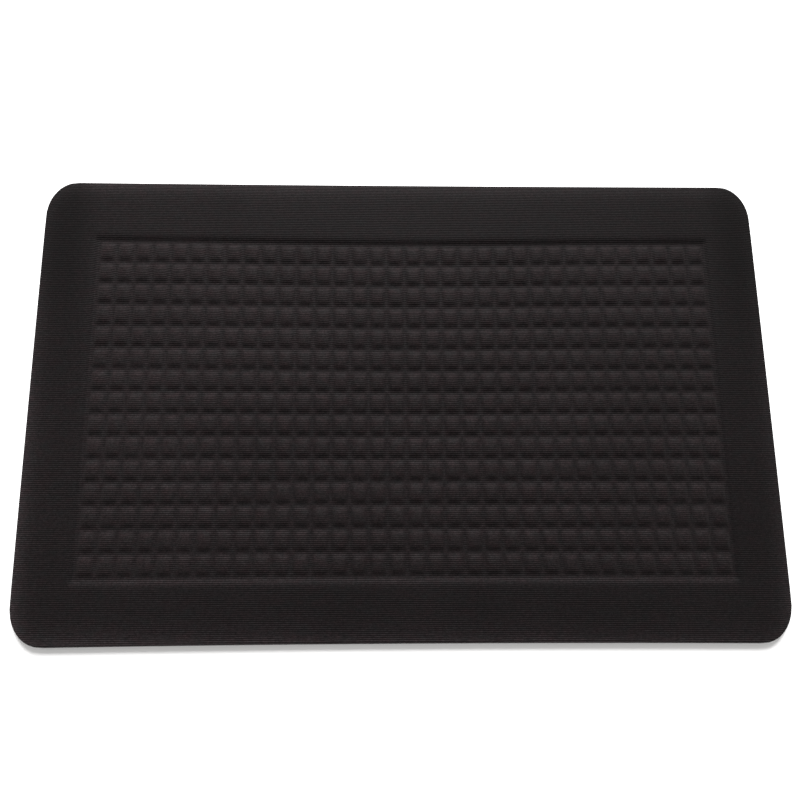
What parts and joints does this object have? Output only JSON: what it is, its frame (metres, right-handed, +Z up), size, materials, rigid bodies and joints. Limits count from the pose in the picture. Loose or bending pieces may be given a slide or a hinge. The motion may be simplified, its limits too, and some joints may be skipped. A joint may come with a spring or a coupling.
{
  "type": "door mat",
  "caption": "Rectangular cushioned door mat with rounded corners: ribbed cloth face pressed with a grid of raised blocks inside a plain border, over foam and a rubber grip backing.",
  "frame": {"origin": "on the floor, under the middle of the mat: the centre of the bounding box's bottom face", "axes": "+X along the mat's long side, +Y along its short side towards the far long edge, +Z up out of the cloth face"},
  "size_m": [0.8, 0.5, 0.01],
  "materials": {
    "ribbed_cloth": "matt ribbed needle-felt, near-black brown, heat-pressed",
    "bonding_film": "thin milky hot-melt film",
    "foam": "closed-cell foam, matt dark grey",
    "backing_rubber": "matt black rubber with a fine pebble"
  },
  "bodies": {
    "root": {"face_cloth": "ribbed_cloth", "upper_bonding_film": "bonding_film", "foam_core": "foam", "lower_bonding_film": "bonding_film", "rubber_backing": "backing_rubber"}
  },
  "joints": []
}
